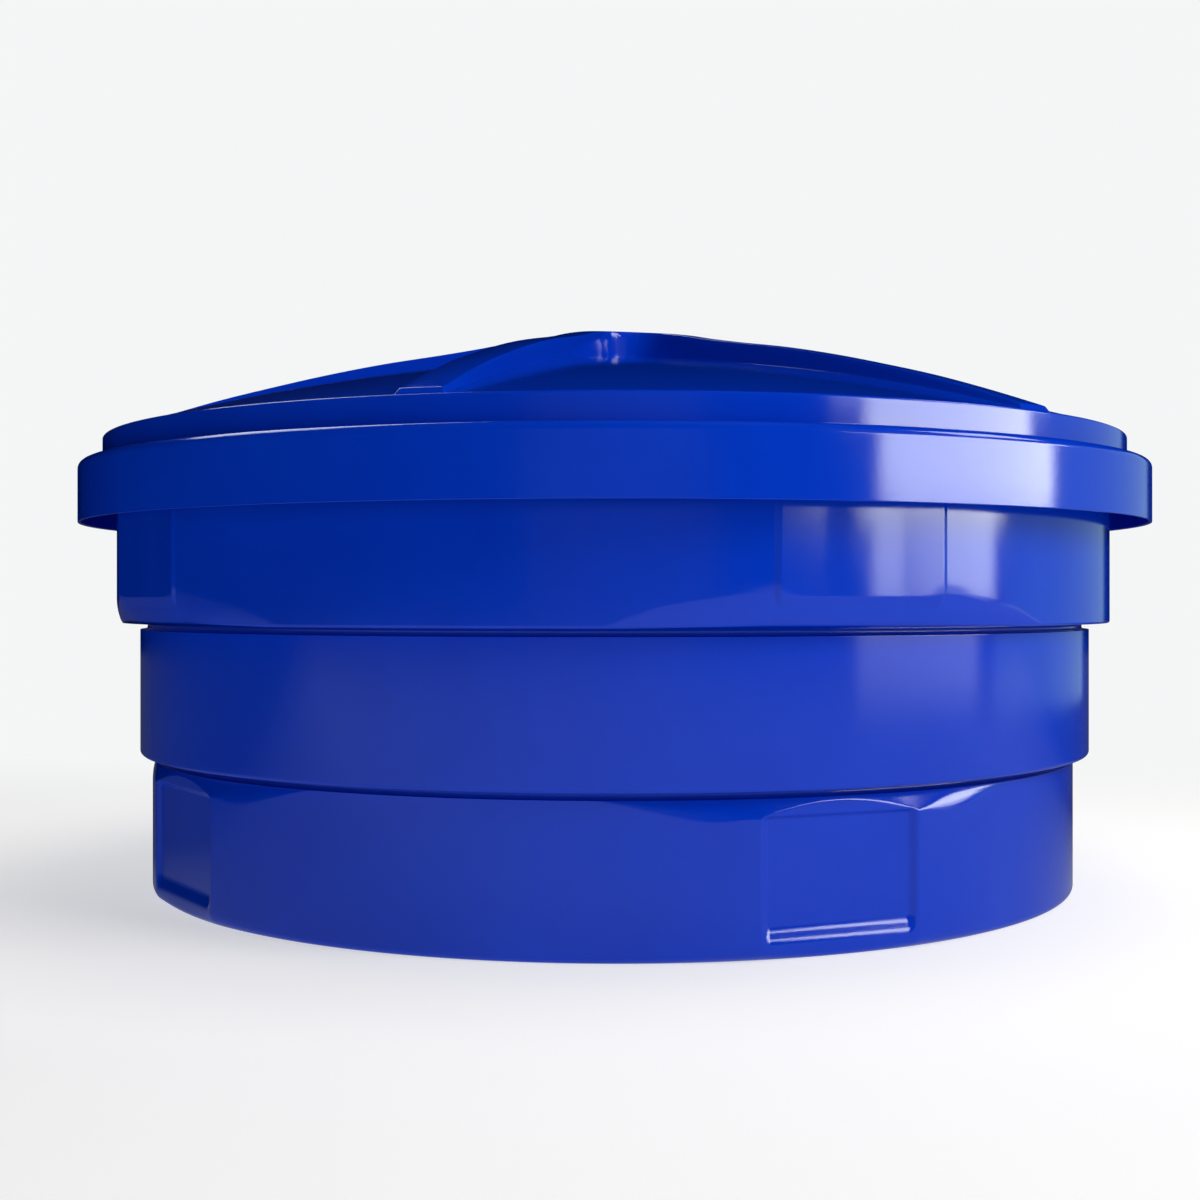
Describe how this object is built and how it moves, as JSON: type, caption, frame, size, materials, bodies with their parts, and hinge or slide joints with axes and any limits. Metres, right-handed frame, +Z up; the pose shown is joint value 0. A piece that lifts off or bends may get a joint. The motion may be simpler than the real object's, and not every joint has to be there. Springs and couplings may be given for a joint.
{
  "type": "covered water storage tank",
  "caption": "Round three-tier moulded plastic water tank with flat pipe pads, a ribbed domed lift-off lid, a float valve, an overflow and a capped drain.",
  "frame": {"origin": "centre of the base, on the ground", "axes": "+Z up; -Y is the front, midway between the two front pads, with one lid rib along it; +X to the right seen from the front"},
  "size_m": [1.2506, 1.2506, 0.65],
  "materials": {
    "blue_polyethylene": "glossy rotationally moulded polyethylene, faint grain",
    "black_polypropylene": "satin moulded polypropylene",
    "black_rubber": "matt rubber",
    "brass": "turned brass, lightly tarnished",
    "nylon": "natural nylon",
    "float_plastic": "smooth moulded plastic",
    "stainless_steel": "satin stainless steel"
  },
  "bodies": {
    "tank": {"tank_shell": "blue_polyethylene", "inlet_valve_body": "brass", "inlet_outer_washer": "black_rubber", "inlet_inner_washer": "black_rubber", "inlet_lock_nut": "brass", "valve_seat": "nylon", "lever_pivot_pin": "stainless_steel", "overflow_flange": "black_polypropylene", "overflow_gasket": "black_rubber", "overflow_nut": "black_polypropylene", "overflow_screen": "stainless_steel", "drain_flange": "black_polypropylene", "drain_gasket": "black_rubber", "drain_nut": "black_polypropylene"},
    "lid": {"lid": "blue_polyethylene"},
    "float_arm": {"float_lever": "brass", "float_rod": "brass", "rod_lock_nut": "brass", "ball_lock_nut": "brass", "float_ball": "float_plastic"},
    "valve_piston": {"valve_piston": "brass", "piston_washer": "black_rubber"},
    "drain_washer": {"drain_cap_washer": "black_rubber"},
    "drain_cap": {"drain_cap": "black_polypropylene"}
  },
  "joints": [
    {"name": "lid_lift", "type": "slide", "parent": "tank", "child": "lid", "axis": [0, 0, 1], "range_m": [0, 0.35]},
    {"name": "float_arm_swing", "type": "hinge", "parent": "tank", "child": "float_arm", "pos_m": [-0.33856, 0.4078, 0.365], "axis": [-0.7694, -0.6388, 0], "range_deg": [0, 48]},
    {"name": "valve_piston_slide", "type": "slide", "parent": "tank", "child": "valve_piston", "axis": [-0.6388, 0.7694, 0], "range_m": [0, 0.0077]},
    {"name": "drain_cap_pull", "type": "slide", "parent": "tank", "child": "drain_washer", "axis": [0.6388, 0.7694, 0], "range_m": [0, 0.02]},
    {"name": "drain_cap_turn", "type": "hinge", "parent": "drain_washer", "child": "drain_cap", "pos_m": [0.35897, 0.43238, 0.058], "axis": [0.6388, 0.7694, 0], "range_deg": [0, 1440]}
  ],
  "couplings": [
    {"joint": "valve_piston_slide", "follows": "float_arm_swing", "m_per_rad": 0.009191},
    {"joint": "drain_cap_pull", "follows": "drain_cap_turn", "m_per_rad": 0.000795}
  ]
}
